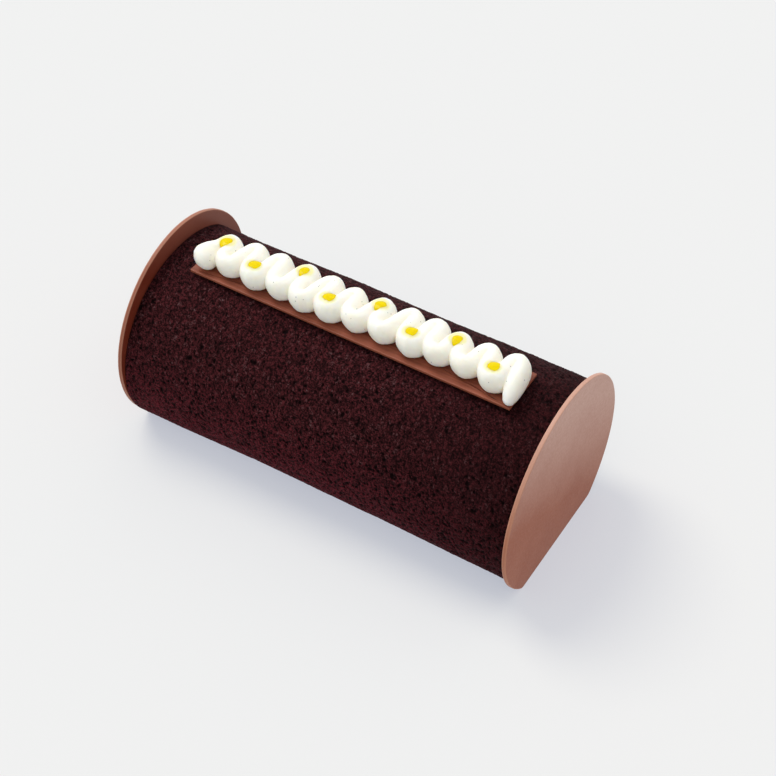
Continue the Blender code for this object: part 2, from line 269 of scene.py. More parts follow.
def half_skin(cell, side):
    """Half of the skin, in rows from the crown to the middle of the foot.

    Returns Y, Z, how deep in a hollow and how high on a ridge each point is, and how far along
    the log each column is.
    """
    turn = LOG_ARC / LOG_MEAN_R
    thetas = np.linspace(math.pi / 2, math.pi / 2 - side * turn, round(LOG_ARC / cell) + 1)
    columns = round((LENGTH - 2 * DISC_T - 2 * GAP) / cell) + 1
    shares = np.linspace(0.0, 1.0, columns)
    theta, share = np.meshgrid(thetas, shares, indexing="ij")
    x = (share - 0.5) * LENGTH
    radius = log_radius(theta, x)
    arc = -side * (theta - math.pi / 2) * LOG_MEAN_R
    low = np.clip((LOW_SKIN_Z - LOG_Z - radius * np.sin(theta)) / LOW_SKIN_BAND, 0.0, 1.0)
    relief, hollow, rise = crumb(x + CRUMB_SHIFT[0], -side * arc + CRUMB_SHIFT[1], low)
    edge = np.minimum(share, 1.0 - share) * LENGTH
    radius = radius + relief * np.clip(edge / END_FADE, 0.0, 1.0)
    y = LOG_Y + radius * np.cos(theta)
    z = LOG_Z + radius * np.sin(theta)
    hollow = np.where(z < 0, 0.0, hollow)
    rise = np.where(z < 0, PLAIN_RISE, rise)
    inward = np.arange(1, FOOT_ROWS + 1)[:, None] / FOOT_ROWS
    foot = np.zeros((FOOT_ROWS, columns))
    y = np.concatenate([y, y[-1] * (1 - inward) + LOG_Y * inward])
    z = np.concatenate([np.maximum(z, 0.0), foot])
    hollow = np.concatenate([hollow, foot])
    rise = np.concatenate([rise, foot + PLAIN_RISE])
    return y, z, hollow, rise, shares


def close_end(verts, faces, rows, cols, end, flip):
    """Close one end of half the log: a band of quads, then triangles round one middle point."""
    start = len(verts)
    for i in range(rows):
        x, y, z = verts[i * cols + end]
        verts.append((x, LOG_Y + (y - LOG_Y) * 0.5, LOG_Z + (z - LOG_Z) * 0.5))
    centre = len(verts)
    crown, foot = verts[end], verts[(rows - 1) * cols + end]
    verts.append((crown[0] * 0.5 + foot[0] * 0.5, LOG_Y, LOG_Z))
    for i in range(rows - 1):
        a, b = i * cols + end, (i + 1) * cols + end
        quad = (a, b, start + i + 1, start + i)
        tri = (start + i, start + i + 1, centre)
        faces.append(quad[::-1] if flip else quad)
        faces.append(tri[::-1] if flip else tri)


def build_log_half(name, cell, side, material):
    """One half of the log, from the line under the plaque round to the middle of its flat."""
    y, z, hollow, rise, shares = half_skin(cell, side)
    lo, hi = end_plane(-1, y) + GAP, end_plane(1, y) - GAP
    x = lo + (hi - lo) * shares
    rows, cols = y.shape
    verts = np.stack([x, y, z], axis=-1).reshape(-1, 3).tolist()
    faces = quad_faces(rows, cols, False)
    if side > 0:
        faces = [f[::-1] for f in faces]
    for end in (0, cols - 1):
        close_end(verts, faces, rows, cols, end, (end == 0) == (side > 0))
    obj = add_mesh(name, verts, faces, material)
    points = np.array(verts)
    added = len(points) - rows * cols
    # how deep in a hollow: where the painted shade falls in pits and creases
    float_attribute(obj, "hollow", np.append(hollow, np.zeros(added)))
    float_attribute(obj, "rise", np.append(rise, np.full(added, PLAIN_RISE)))
    # how near the foot: redder there, and lighter with painted bounce light
    float_attribute(obj, "low", np.clip((LOW_RED_Z - points[:, 2]) / LOW_RED_BAND, 0.0, 1.0))
    # how far along: the painted shade darkens the right end
    float_attribute(obj, "right_end_shade", np.clip(0.5 + points[:, 0] / RIGHT_SHADE_LENGTH, 0.0, 1.0))
    obj.data.set_sharp_from_angle(angle=SHARP_ANGLE)
    return obj


# thin chocolate plates


def disc_outline(centre_z):
    """A circle cut off flat at the floor, with the two ends of the flat rounded."""
    reach, drop = DISC_R - DISC_CORNER_R, centre_z - DISC_CORNER_R
    corner_y = math.sqrt(reach * reach - drop * drop)
    start = math.atan2(-drop, corner_y)
    points = []
    for i in range(DISC_POINTS):
        a = start + (math.pi - 2 * start) * i / (DISC_POINTS - 1)
        points.append((DISC_R * math.cos(a), centre_z + DISC_R * math.sin(a)))
    for i in range(1, CORNER_STEPS + 1):
        a = math.pi - start + (1.5 * math.pi - (math.pi - start)) * i / CORNER_STEPS
        points.append((-corner_y + DISC_CORNER_R * math.cos(a),
                       DISC_CORNER_R + DISC_CORNER_R * math.sin(a)))
    for i in range(1, FOOT_STEPS):
        points.append((-corner_y + 2 * corner_y * i / FOOT_STEPS, 0.0))
    for i in range(CORNER_STEPS):
        a = -math.pi / 2 + (start + math.pi / 2) * i / CORNER_STEPS
        points.append((corner_y + DISC_CORNER_R * math.cos(a),
                       DISC_CORNER_R + DISC_CORNER_R * math.sin(a)))
    return np.array(points)


def bar_outline():
    """The plaque from above: a long rectangle, its corners hardly rounded."""
    half_l, half_w, r = BAR_L / 2, BAR_W / 2, BAR_CORNER_R
    points = []
    for cx, cy, a0 in ((1, 1, 0.0), (-1, 1, 0.5), (-1, -1, 1.0), (1, -1, 1.5)):
        for i in range(5):
            a = math.pi * (a0 + 0.5 * i / 4)
            points.append((cx * (half_l - r) + r * math.cos(a),
                           cy * (half_w - r) + r * math.sin(a)))
    dense = []
    for p, q in zip(points, points[1:] + points[:1]):
        count = max(1, round(math.hypot(q[0] - p[0], q[1] - p[1]) / BAR_SPACING))
        for i in range(count):
            dense.append((p[0] + (q[0] - p[0]) * i / count, p[1] + (q[1] - p[1]) * i / count))
    return np.array(dense)


def plate(outline, thickness, edge_r, centre, ragged, seed):
    """Rings of points (a, b, depth) of a thin plate, from the middle of one face to the other's."""
    count = len(outline)
    ahead, behind = np.roll(outline, -1, axis=0), np.roll(outline, 1, axis=0)
    along = ahead - behind
    along /= np.linalg.norm(along, axis=1)[:, None]
    inward = np.stack([-along[:, 1], along[:, 0]], axis=1)
    step = np.linalg.norm(ahead - outline, axis=1)
    around = np.concatenate([[0.0], np.cumsum(step)[:-1]])
    rough = ragged * (smooth_noise(around, around * 0, CHIP_SIZE, seed)
                      + 0.5 * smooth_noise(around, around * 0, NICK_SIZE, seed + 1))
    # the foot of a disc stays flat, and the front of the plaque straight
    rough = np.where(outline[:, 1] < 1e-5, 0.0, rough)
    turns = [math.radians(angle) for angle in ARRIS_ANGLES]
    profile = [(edge_r * (1 - math.sin(a)), edge_r * (1 - math.cos(a))) for a in turns]
    middle = [(0.0, thickness * f) for f in (0.35, 0.65)]
    back = [(inset, thickness - depth) for inset, depth in reversed(profile)]
    face = [centre + (outline + inward * edge_r * 1.5 - centre) * share for share in FACE_SHARES]
    face.append(outline + inward * edge_r * 1.4)
    rings = [(ring, 0.0) for ring in face]
    for inset, depth in profile + middle + back:
        rings.append((outline + inward * (inset + np.abs(rough))[:, None], depth))
    rings += [(ring, thickness) for ring in reversed(face)]
    return np.array([np.column_stack([ring, np.full(count, depth)]) for ring, depth in rings])


def arris(grid):
    """Share of the painted highlight on a plate: 1 on the rounding of its edges, less on its rim,
    0 on its faces.
    """
    depth = grid[..., 2]
    turned = (depth > 1e-6) & (depth < depth.max() - 1e-6)
    rim = np.abs(depth - depth.max() / 2) < 0.2 * depth.max()
    return np.where(rim, 0.6, 1.0) * turned


def capped_faces(rings, count):
    """Quads between closed rings of points, and one face over each end."""
    faces = quad_faces(rings, count, True)
    last = (rings - 1) * count
    faces.append(tuple(reversed(range(count))))
    faces.append(tuple(last + j for j in range(count)))
    return faces


def build_disc(name, side, y0, z0, yaw, seed, material):
    grid = plate(disc_outline(z0), DISC_T, DISC_EDGE_R, np.array([0.0, z0]), DISC_RAGGED, seed)
    a, b, depth = grid[..., 0], grid[..., 1], grid[..., 2]
    x = side * (LENGTH / 2 - depth) + a * math.tan(yaw)
    verts = np.stack([x, y0 + a, b], axis=-1).reshape(-1, 3)
    faces = capped_faces(*grid.shape[:2])
    if side > 0:
        faces = [f[::-1] for f in faces]
    obj = add_mesh(name, verts, faces, material)
    float_attribute(obj, "arris", arris(grid))
    float_attribute(obj, "outer", depth < OUTER_SHARE * DISC_T)
    return obj


def build_bar(material):
    grid = plate(bar_outline(), BAR_T, BAR_EDGE_R, np.array([0.0, 0.0]), BAR_RAGGED, 71)
    c, s = math.cos(BAR_YAW), math.sin(BAR_YAW)
    a, b, depth = grid[..., 0], grid[..., 1], grid[..., 2]
    verts = np.stack([BAR_X + c * a - s * b, BAR_Y + s * a + c * b, BAR_TOP - depth], axis=-1)
    faces = [f[::-1] for f in capped_faces(*grid.shape[:2])]
    obj = add_mesh("chocolate_plaque", verts.reshape(-1, 3), faces, material)
    float_attribute(obj, "arris", arris(grid))
    return obj


# cream


def uneven(seed, count, reach):
    """Small random offsets of the turns."""
    rnd = random.Random(seed)
    return [rnd.uniform(-reach, reach) for _ in range(count)]


def turn_centres():
    """Centres of the turns of the rope in order, back and front by turns."""
    back_x = uneven(56896, LOOPS, BACK_UNEVEN[0])
    back_y = uneven(79794, LOOPS, BACK_UNEVEN[1])
    front_x = uneven(16370, LOOPS - 1, FRONT_UNEVEN[0])
    front_y = uneven(52095, LOOPS - 1, FRONT_UNEVEN[1])
    turns = []
    for n in range(LOOPS):
        turns.append((1, FIRST_BACK_X + n * BACK_PITCH + back_x[n], BACK_Y + back_y[n]))
        if n < LOOPS - 1:
            turns.append((-1, FIRST_FRONT_X + n * FRONT_PITCH + front_x[n],
                          FRONT_Y + front_y[n]))
    return turns


def rope_path():
    """Stations of the rope: x, y, lift, half width, half height, evenly spaced."""
    turns = turn_centres()
    raw = [(x, y, 0.0, START_HALF_W, ROPE_HALF_H) for x, y in START]
    first = (turns[0][1] - BACK_BEND[0], turns[0][2])
    raw += taper(START[1], first, START_TAPER, START_HALF_W)
    for side, cx, cy in turns:
        wide, deep = BACK_BEND if side > 0 else FRONT_BEND
        for i in range(TURN_STEPS + 1):
            a = math.pi * (1 - i / TURN_STEPS)
            raw.append((cx + wide * math.cos(a), cy + side * deep * math.sin(a),
                        0.0, ROPE_HALF_W * (1.0 - TURN_THIN * math.sin(a)), ROPE_HALF_H))
    raw += taper(raw[-1], TAIL_TIP, TAIL_TAPER, ROPE_HALF_W)
    return resample(raw, ROPE_STEP)


def taper(start, end, steps, half_w):
    """Stations on a straight way, at shares of it, with a share of the width and of the height."""
    return [(start[0] + (end[0] - start[0]) * t, start[1] + (end[1] - start[1]) * t,
             ROPE_LIFT * (h - 1.0), half_w * w, ROPE_HALF_H * h) for t, w, h in steps]


def resample(raw, step):
    """Evenly spaced stations along a polyline, after rounding its corners."""
    for _ in range(2):
        soft = [raw[0]]
        for a, b, c in zip(raw, raw[1:], raw[2:]):
            soft.append(tuple(0.25 * p + 0.5 * q + 0.25 * r for p, q, r in zip(a, b, c)))
        soft.append(raw[-1])
        raw = soft
    lengths = [0.0]
    for a, b in zip(raw, raw[1:]):
        lengths.append(lengths[-1] + math.hypot(b[0] - a[0], b[1] - a[1]))
    count = max(2, round(lengths[-1] / step))
    out, k = [], 0
    for i in range(count + 1):
        s = lengths[-1] * i / count
        while k < len(raw) - 2 and lengths[k + 1] < s:
            k += 1
        t = (s - lengths[k]) / (lengths[k + 1] - lengths[k])
        out.append(tuple(a + (b - a) * t for a, b in zip(raw[k], raw[k + 1])))
    return out


def stretches():
    """The rope cut into its passes, each an array of stations."""
    path = np.array(rope_path())
    cuts = [0]
    for i in range(1, len(path) - 1):
        before, here, after = path[i - 1][1], path[i][1], path[i + 1][1]
        if (here - before) * (after - here) <= 0 and i - cuts[-1] > 3:
            cuts.append(i)
    cuts.append(len(path) - 1)
    return [path[a:b + 1] for a, b in zip(cuts, cuts[1:])]


def pass_gauge(stations, points):
    """Below 1 inside the oval section of one pass of the rope, above 1 outside."""
    best = np.full(len(points), 1e9)
    for a, b in zip(stations, stations[1:]):
        along = b[:2] - a[:2]
        t = np.clip((points[:, :2] - a[:2]) @ along / (along @ along), 0.0, 1.0)
        at = a + t[:, None] * (b - a)
        side = np.hypot(points[:, 0] - at[:, 0], points[:, 1] - at[:, 1]) / at[:, 3]
        lean = ROPE_LEAN * (points[:, 0] - at[:, 0])
        rise = (points[:, 2] - CREAM_Z - ROPE_LIFT - at[:, 2] + lean) / at[:, 4]
        best = np.minimum(best, np.hypot(side, rise))
    return best


def cream_gauge(passes, points):
    """Below 0 inside the cream: the passes run softly into each other, and the foot is flat."""
    total = np.full(len(points), 1e9)
    for stations in passes:
        reach = stations[:, 3].max() * 2.5
        near = points[:, 0] > stations[:, 0].min() - reach
        near &= points[:, 0] < stations[:, 0].max() + reach
        if not near.any():
            continue
        one = pass_gauge(stations, points[near])
        so_far = total[near]
        mix = np.clip(0.5 + 0.5 * (one - so_far) / PASS_BLEND, 0.0, 1.0)
        total[near] = one + (so_far - one) * mix - PASS_BLEND * mix * (1.0 - mix)
    return np.maximum(total - 1.0, (CREAM_Z - points[:, 2]) / ROPE_HALF_H)


def section_middles(passes, xs):
    """Centre of the cream's section at each x."""
    ys = np.linspace(*SECTION_Y, 41)
    zs = CREAM_Z + np.linspace(0.0005, 2 * ROPE_LIFT, 15)
    x, y, z = (a.reshape(-1) for a in np.meshgrid(xs, ys, zs, indexing="ij"))
    inside = cream_gauge(passes, np.stack([x, y, z], axis=1)) < 0
    inside = inside.reshape(len(xs), -1)
    count = inside.sum(axis=1)
    mid_y = (inside * y.reshape(len(xs), -1)).sum(axis=1) / np.maximum(count, 1)
    mid_z = (inside * z.reshape(len(xs), -1)).sum(axis=1) / np.maximum(count, 1)
    good = count > 2
    mid_y = np.interp(xs, xs[good], mid_y[good])
    mid_z = np.interp(xs, xs[good], mid_z[good])
    return np.stack([xs, mid_y, mid_z], axis=1)


def cream_rings(passes, first, last):
    """Rings of the cream from end to end, closer together where it rounds off."""
    steps = np.linspace(0.0, 1.0, CREAM_STATIONS)
    edge = np.minimum(steps, 1.0 - steps)
    edge = np.where(edge < END_SHARE, END_SHARE * (edge / END_SHARE) ** END_POWER, edge)
    steps = np.where(steps < 0.5, edge, 1.0 - edge)
    xs = first + (last - first) * steps
    turn = 2 * math.pi * (np.arange(CREAM_RAYS) + 0.5) / CREAM_RAYS
    rays = np.stack([np.zeros(CREAM_RAYS), RAY_SPREAD * np.cos(turn), np.sin(turn)], axis=1)
    rays /= np.linalg.norm(rays, axis=1)[:, None]
    marks = np.linspace(0.0, RAY_REACH, RAY_MARKS)
    rings = []
    for part in np.array_split(xs, 8):
        middle = section_middles(passes, part)
        line = middle[:, None, None, :] + rays[None, :, None, :] * marks[None, None, :, None]
        inside = cream_gauge(passes, line.reshape(-1, 3)) < 0
        inside = inside.reshape(len(part), CREAM_RAYS, RAY_MARKS)
        outermost = RAY_MARKS - 1 - np.argmax(inside[:, :, ::-1], axis=2)
        outermost = np.where(inside.any(axis=2), outermost, 0)
        low, high = marks[outermost], marks[np.minimum(outermost + 1, RAY_MARKS - 1)]
        for _ in range(RAY_HALVINGS):
            half = 0.5 * (low + high)
            at = middle[:, None, :] + rays[None] * half[:, :, None]
            within = (cream_gauge(passes, at.reshape(-1, 3)) < 0).reshape(half.shape)
            low, high = np.where(within, half, low), np.where(within, high, half)
        rings.append(middle[:, None, :] + rays[None] * low[:, :, None])
    return np.concatenate(rings)


def wobble(rings):
    """Move the cream's rings out and in a little, but for the foot and the two end rings."""
    middle = rings.mean(axis=1, keepdims=True)
    angle = np.arctan2(rings[..., 2] - middle[..., 2], rings[..., 1] - middle[..., 1])
    u, v = rings[..., 0] + WOBBLE_SHIFT[0], angle * GIRTH_R + WOBBLE_SHIFT[1]
    swell = CREAM_WOBBLE * smooth_noise(u, v, WOBBLE_SIZE, 31)
    swell = swell + 0.4 * CREAM_WOBBLE * smooth_noise(u, v, RIPPLE_SIZE, 32)
    swell = swell * np.clip((rings[..., 2] - CREAM_Z) / 0.002, 0.0, 1.0)
    out = rings - middle
    out = out / np.maximum(np.linalg.norm(out, axis=2, keepdims=True), 1e-6)
    rings[1:-1] = (rings + out * swell[..., None])[1:-1]


def gel_stain(points, spots):
    """How much gel has run into the cream: 1 beside a dot, fading to 0 within its reach."""
    stain = np.zeros(len(points))
    for x, y in spots:
        away = np.hypot((points[:, 0] - x + STAIN_LEFT) / DOT_HALF[0],
                        (points[:, 1] - y) / DOT_HALF[1])
        near = np.clip((STAIN_REACH - away) / (STAIN_REACH - STAIN_FULL), 0.0, 1.0)
        stain = np.maximum(stain, near ** STAIN_POWER)
    return stain * (points[:, 2] > CREAM_Z + 0.5 * DOT_Z)


def build_cream(spots, material):
    low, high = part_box("cream_wave")
    rings = cream_rings(stretches(), low.x, high.x)
    wobble(rings)
    points = rings.reshape(-1, 3)
    obj = add_mesh("piped_cream", points, capped_faces(CREAM_STATIONS, CREAM_RAYS), material)
    float_attribute(obj, "stain", gel_stain(points, spots))
    return obj


def dot_spots():
    """Where the dots of gel lie: every third back turn, and every third front turn."""
    turns = turn_centres()
    picked = [t for t in turns if t[0] > 0][0::3] + [t for t in turns if t[0] < 0][1::3]
    return [(x - DOT_LEFT, y + side * DOT_OUT) for side, x, y in picked]


def build_dot(name, x, y, z, seed, material):
    """A drop of gel that has settled in the hollow of a turn."""
    rnd = random.Random(seed)
    half = (DOT_HALF[0] * DOT_SWELL * rnd.uniform(0.94, 1.06),
            DOT_HALF[1] * DOT_SWELL * rnd.uniform(0.94, 1.06), DOT_HALF[2] * DOT_SWELL)
    lean = rnd.uniform(-0.3, 0.3)
    verts = []
    for i in range(DOT_ROWS):
        lat = -math.pi / 2 + math.pi * (i + 0.5) / DOT_ROWS
        for j in range(DOT_COLUMNS):
            a = 2 * math.pi * j / DOT_COLUMNS
            u = half[0] * math.cos(lat) * math.cos(a)
            v = half[1] * math.cos(lat) * math.sin(a) * (1.0 + 0.15 * math.cos(a))
            verts.append((x + u * math.cos(lean) - v * math.sin(lean),
                          y + u * math.sin(lean) + v * math.cos(lean),
                          z + half[2] * math.sin(lat)))
    return add_mesh(name, verts, capped_faces(DOT_ROWS, DOT_COLUMNS), material)


# materials


class Nodes:
    """Short calls for building one material's nodes."""

    def __init__(self, name):
        self.material = bpy.data.materials.new(name)
        self.material.use_nodes = True
        self.tree = self.material.node_tree
        self.bsdf = self.tree.nodes["Principled BSDF"]
        self.coords = self.tree.nodes.new("ShaderNodeTexCoord").outputs["Object"]

    def link(self, a, b):
        self.tree.links.new(a, b)

    def put(self, socket, value):
        if isinstance(value, bpy.types.NodeSocket):
            self.link(value, socket)
        else:
            socket.default_value = value

    def stretch(self, scale):
        node = self.tree.nodes.new("ShaderNodeMapping")
        self.link(self.coords, node.inputs["Vector"])
        node.inputs["Scale"].default_value = scale
        return node.outputs["Vector"]

    def noise(self, size, detail=2.0, vector=None, distortion=0.0):
        node = self.tree.nodes.new("ShaderNodeTexNoise")
        self.link(vector or self.coords, node.inputs["Vector"])
        node.inputs["Scale"].default_value = 1.0 / size
        node.inputs["Detail"].default_value = detail
        node.inputs["Distortion"].default_value = distortion
        return node.outputs["Fac"]

    def cells(self, size):
        node = self.tree.nodes.new("ShaderNodeTexVoronoi")
        self.link(self.coords, node.inputs["Vector"])
        node.inputs["Scale"].default_value = 1.0 / size
        return node.outputs["Distance"]

    def spread(self, value, low, high, to_low=0.0, to_high=1.0):
        node = self.tree.nodes.new("ShaderNodeMapRange")
        self.put(node.inputs["Value"], value)
        node.inputs["From Min"].default_value = low
        node.inputs["From Max"].default_value = high
        node.inputs["To Min"].default_value = to_low
        node.inputs["To Max"].default_value = to_high
        return node.outputs["Result"]

    def math(self, operation, a, b):
        node = self.tree.nodes.new("ShaderNodeMath")
        node.operation = operation
        self.put(node.inputs[0], a)
        self.put(node.inputs[1], b)
        return node.outputs["Value"]

    def mix(self, share, a, b):
        node = self.tree.nodes.new("ShaderNodeMix")
        node.data_type = "RGBA"
        self.put(node.inputs["Factor"], share)
        a_in = [s for s in node.inputs if s.name == "A" and s.type == "RGBA"][0]
        b_in = [s for s in node.inputs if s.name == "B" and s.type == "RGBA"][0]
        self.put(a_in, a)
        self.put(b_in, b)
        return [s for s in node.outputs if s.type == "RGBA"][0]

    def axis(self, name):
        node = self.tree.nodes.new("ShaderNodeSeparateXYZ")
        self.link(self.coords, node.inputs["Vector"])
        return node.outputs[name]

    def attribute(self, name):
        node = self.tree.nodes.new("ShaderNodeAttribute")
        node.attribute_name = name
        return node.outputs["Fac"]

    def bump(self, height, strength, distance):
        node = self.tree.nodes.new("ShaderNodeBump")
        node.inputs["Strength"].default_value = strength
        node.inputs["Distance"].default_value = distance
        self.link(height, node.inputs["Height"])
        return node.outputs["Normal"]

    def set(self, **values):
        for key, value in values.items():
            self.put(self.bsdf.inputs[key.replace("_", " ")], value)


def rgb(r, g, b):
    return (r, g, b, 1.0)


# colours, linear
# ridges high on the log; near its foot redder, and lighter with painted bounce light from the floor
CRUMB_HIGH, CRUMB_LOW_RED_AND_BOUNCE = rgb(0.080, 0.0150, 0.0178), rgb(0.140, 0.0118, 0.0208)
# valleys of the bump: darker grain and painted shade; then the grey of the painted glints
CRUMB_VALLEY_GRAIN_AND_SHADE, CRUMB_PAINTED_GLINT = rgb(0.0105, 0.0019, 0.0024), rgb(0.105, 0.080, 0.081)
# painted shade towards the right end of the log, and painted shade in its pits and creases
CRUMB_RIGHT_END_SHADE, CRUMB_HOLLOW_SHADE = rgb(0.012, 0.0016, 0.0020), rgb(0.0045, 0.0008, 0.0011)
CRUMB_SHEEN = rgb(0.95, 0.78, 0.80)
# fine specks on the discs, and the painted highlight on their edges
DISC_SPECK, DISC_EDGE_HIGHLIGHT = rgb(0.250, 0.075, 0.040), rgb(0.620, 0.330, 0.220)
BAR_DEEP, BAR_PALE = rgb(0.190, 0.046, 0.023), rgb(0.305, 0.086, 0.046)
# painted highlight on the plaque's edges
BAR_EDGE_HIGHLIGHT = rgb(0.420, 0.130, 0.070)
CREAM_DEEP, CREAM_PALE = rgb(0.955, 0.885, 0.775), rgb(0.962, 0.900, 0.805)
CREAM_STAIN, VANILLA = rgb(0.920, 0.780, 0.140), rgb(0.16, 0.13, 0.13)
GEL_DEEP, GEL_PALE = rgb(0.74, 0.555, 0.001), rgb(0.79, 0.615, 0.002)
FLOOR_BASE, FLOOR_GLOW = rgb(0.375, 0.352, 0.285), rgb(0.421, 0.447, 0.522)

# the faces of the discs: two shades of chocolate, the colour and share of a painted reflection
# that lightens them towards the top, and the heights from and to which it grows. The left disc's
# inner face is a copy with painted shade, its outer face a lit copy
FACE_SHADED = (rgb(0.170, 0.025, 0.012), rgb(0.195, 0.034, 0.017),
               rgb(0.400, 0.160, 0.110), 0.66, 0.053, 0.080)
FACE_LIT = (rgb(0.265, 0.090, 0.054), rgb(0.285, 0.102, 0.062),
            rgb(0.470, 0.292, 0.235), 0.70, 0.019, 0.064)
FACE_RIGHT_PAINTED_REFLECTION = (rgb(0.360, 0.109, 0.052), rgb(0.382, 0.122, 0.060),
                rgb(0.632, 0.400, 0.327), 0.78, 0.019, 0.064)


def sponge_material():
    """Cocoa sponge, redder near the foot, with painted light and shade.

    Painted bounce light from the floor lightens the foot, painted grey glints lie on the ridges
    higher up, and painted shade darkens the hollows, the right end and, with a darker grain, the
    valleys of the bump.
    """
    n = Nodes("sponge_crumb")
    hollow = n.attribute("hollow")
    low, rise = n.attribute("low"), n.attribute("rise")
    coarse = n.noise(0.00062, 2.0, distortion=0.8)
    grain = n.noise(0.00036, 1.0, distortion=0.4)
    tone = n.math("ADD", n.math("MULTIPLY", coarse, 0.6), n.math("MULTIPLY", grain, 0.4))
    # near the foot the ridges are redder, and lighter with painted bounce light from the floor
    ridge = n.mix(low, CRUMB_HIGH, CRUMB_LOW_RED_AND_BOUNCE)
    # darker in the valleys of the bump: partly darker grain, partly painted shade
    base = n.mix(n.spread(tone, 0.43, 0.57), CRUMB_VALLEY_GRAIN_AND_SHADE, ridge)
    # painted glints: grey highlights on the ridges higher up the log
    painted_glint = n.math("MULTIPLY", n.spread(tone, 0.47, 0.62), n.spread(low, 0.85, 0.10))
    painted_glint = n.math("MULTIPLY", painted_glint, n.spread(rise, 0.30, 0.75))
    base = n.mix(n.math("MULTIPLY", painted_glint, 0.60), base, CRUMB_PAINTED_GLINT)
    # painted shade darkening the log towards its right end, next to the right disc
    base = n.mix(n.spread(n.attribute("right_end_shade"), 0.60, 1.0, 0.0, 0.55), base, CRUMB_RIGHT_END_SHADE)
    # painted shade in the pits and creases
    base = n.mix(n.spread(hollow, 0.12, 0.65), base, CRUMB_HOLLOW_SHADE)
    n.set(Base_Color=base, Roughness=n.spread(grain, 0.3, 0.7, 0.62, 0.85),
          Normal=n.bump(tone, 1.0, 0.0005))
    n.set(Specular_IOR_Level=0.03, Sheen_Weight=0.022, Sheen_Roughness=0.5,
          Sheen_Tint=CRUMB_SHEEN)
    return n.material


def disc_face(n, cloud, deep, pale, reflection_colour, reflection_share, reflection_from, reflection_to):
    """Milk chocolate, clouded, with a painted reflection that makes it lighter towards the top."""
    base = n.mix(n.spread(cloud, 0.35, 0.65), deep, pale)
    height = n.math("ADD", n.axis("Z"), n.math("MULTIPLY", n.axis("Y"), 0.5))
    # painted reflection: the face turns lighter towards the top
    painted_reflection = n.spread(height, reflection_from, reflection_to, 0.0, reflection_share)
    painted_reflection = n.math("ADD", painted_reflection, n.spread(cloud, 0.35, 0.65, -0.03, 0.03))
    return n.mix(painted_reflection, base, reflection_colour)


def disc_material(name, inner, outer):
    """The chocolate of a disc, finely speckled, with a painted highlight on its edges.

    The outer face has a look of its own: on the left disc the inner face is a copy with painted
    shade, the outer face a lit copy.
    """
    n = Nodes(name)
    cloud = n.noise(0.014, 3.0)
    fine = n.noise(0.0008, 3.0)
    inner, outer = disc_face(n, cloud, *inner), disc_face(n, cloud, *outer)
    # the outer face's copy; on the left disc the inner face is the copy with painted shade
    base = n.mix(n.attribute("outer"), inner, outer)
    base = n.mix(n.spread(fine, 0.35, 0.70, 0.0, 0.16), base, DISC_SPECK)
    # painted highlight on the rounded edges
    base = n.mix(n.math("MULTIPLY", n.attribute("arris"), 0.42), base, DISC_EDGE_HIGHLIGHT)
    n.set(Base_Color=base, Roughness=n.spread(fine, 0.3, 0.7, 0.34, 0.44),
          Normal=n.bump(fine, 0.25, 0.00008))
    n.set(Specular_IOR_Level=0.08)
    return n.material


def bar_material():
    """Milk chocolate with fine streaks along the plaque, and a painted highlight on its edges."""
    n = Nodes("bar_chocolate")
    streak = n.noise(0.0011, 4.0, n.stretch((0.045, 1.0, 1.0)))
    fine = n.noise(0.0006, 2.0)
    base = n.mix(n.spread(streak, 0.35, 0.65), BAR_DEEP, BAR_PALE)
    # painted highlight on the rounded edges
    base = n.mix(n.math("MULTIPLY", n.attribute("arris"), 0.35), base, BAR_EDGE_HIGHLIGHT)
    n.set(Base_Color=base, Roughness=n.spread(streak, 0.3, 0.7, 0.32, 0.46),
          Normal=n.bump(n.math("ADD", streak, n.math("MULTIPLY", fine, 0.3)), 0.30, 0.00008))
    n.set(Specular_IOR_Level=0.3)
    return n.material


def cream_material():
    """Ivory cream, stained round the dots of gel, with specks of vanilla."""
    n = Nodes("whipped_cream")
    soft = n.noise(0.0035, 2.0)
    fine = n.noise(0.0006, 2.0)
    base = n.mix(n.spread(soft, 0.35, 0.65), CREAM_DEEP, CREAM_PALE)
    base = n.mix(n.math("MULTIPLY", n.attribute("stain"), 0.62), base, CREAM_STAIN)
    speck = n.spread(n.cells(0.0026), 0.085, 0.055)
    base = n.mix(n.math("MULTIPLY", speck, 0.80), base, VANILLA)
    height = n.math("ADD", n.math("MULTIPLY", soft, 0.8), n.math("MULTIPLY", fine, 0.25))
    n.set(Base_Color=base, Roughness=n.spread(soft, 0.3, 0.7, 0.42, 0.52),
          Normal=n.bump(height, 0.20, 0.00025))
    n.set(Subsurface_Weight=1.0, Subsurface_Radius=(1.0, 0.88, 0.70), Subsurface_Scale=0.0040)
    return n.material


def gel_material():
    n = Nodes("yellow_gel")
    depth = n.noise(0.0012, 1.0)
    base = n.mix(n.spread(depth, 0.3, 0.7), GEL_DEEP, GEL_PALE)
    n.set(Base_Color=base, Roughness=n.spread(depth, 0.3, 0.7, 0.12, 0.20),
          Normal=n.bump(depth, 0.10, 0.0001))
    n.set(Specular_IOR_Level=0.07, Subsurface_Weight=0.5, Subsurface_Radius=(1.0, 0.85, 0.15),
          Subsurface_Scale=0.0010)
    return n.material


def floor_material():
    n = Nodes("floor")
    n.set(Base_Color=FLOOR_BASE, Roughness=0.9)
    n.set(Specular_IOR_Level=0.0, Emission_Color=FLOOR_GLOW, Emission_Strength=1.0)
    return n.material


# scene


def stand_for(piece, node):
    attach(piece, "root")
    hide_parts(node)


